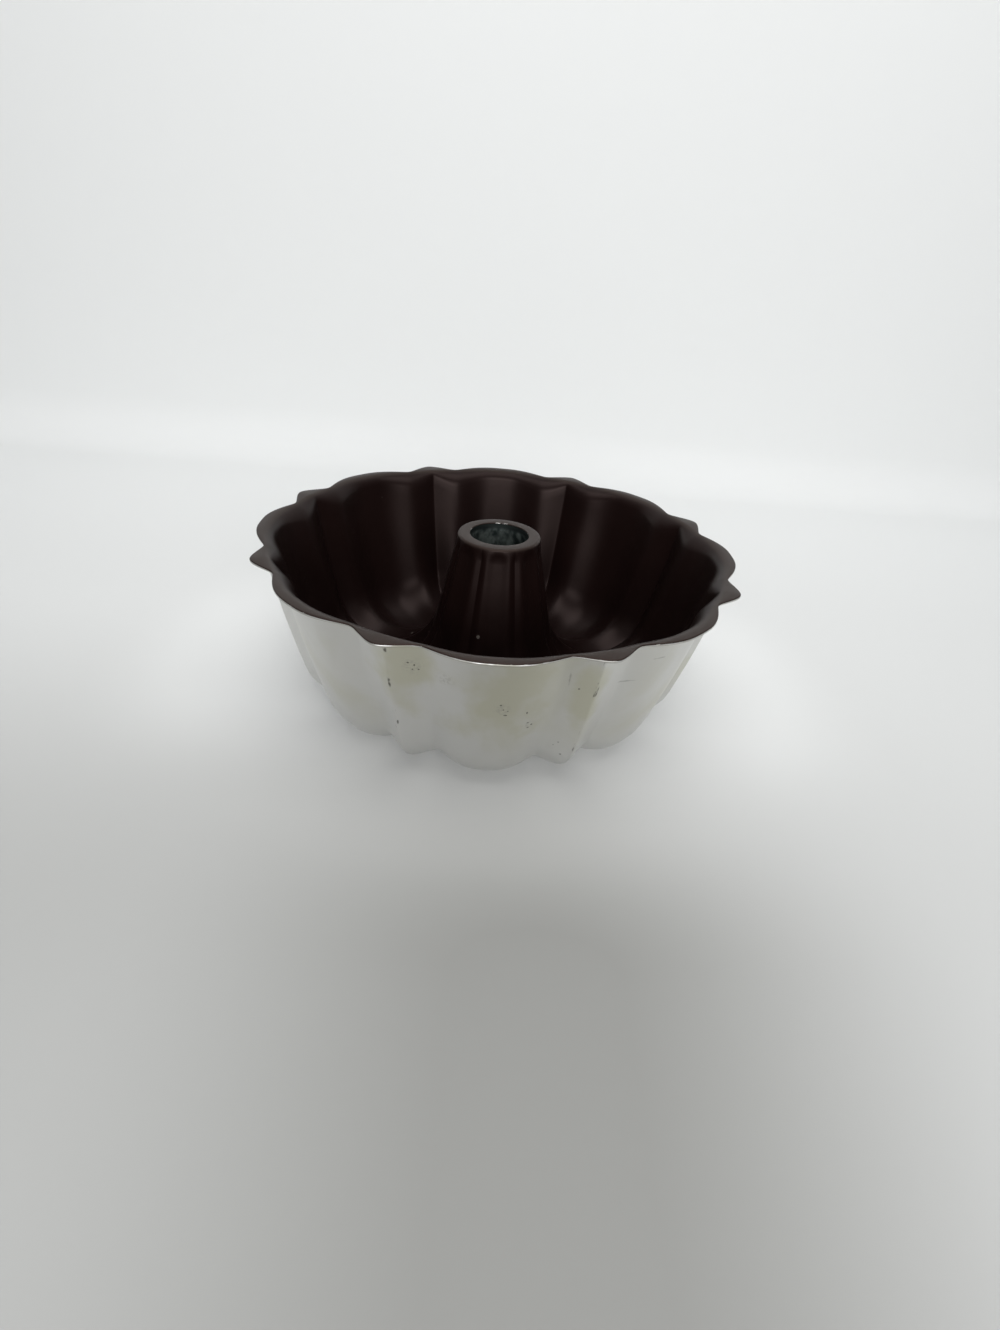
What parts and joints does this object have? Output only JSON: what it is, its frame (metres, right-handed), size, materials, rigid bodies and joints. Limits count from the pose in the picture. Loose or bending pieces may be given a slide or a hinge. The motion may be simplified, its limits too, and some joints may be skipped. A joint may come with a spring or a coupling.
{
  "type": "fluted tube pan",
  "caption": "Cast-aluminium ring cake pan with wide round and narrow pointed flutes, a flared scalloped lip, an open centre tube and a dark non-stick coating inside",
  "frame": {"origin": "on the table the pan stands on, under the middle of the tube", "axes": "+Z is the axis of the tube and points up out of the open top; +X and +Y each run through the middle of a wide flute"},
  "size_m": [0.2576, 0.2576, 0.0931],
  "materials": {
    "cast_aluminium": "smooth satin casting outside, duller and greyer inside the tube",
    "nonstick_coating": "semi-gloss dark brown non-stick film, lightly scratched"
  },
  "bodies": {
    "root": {"cast_shell": "cast_aluminium", "nonstick_lining": "nonstick_coating"}
  },
  "joints": []
}
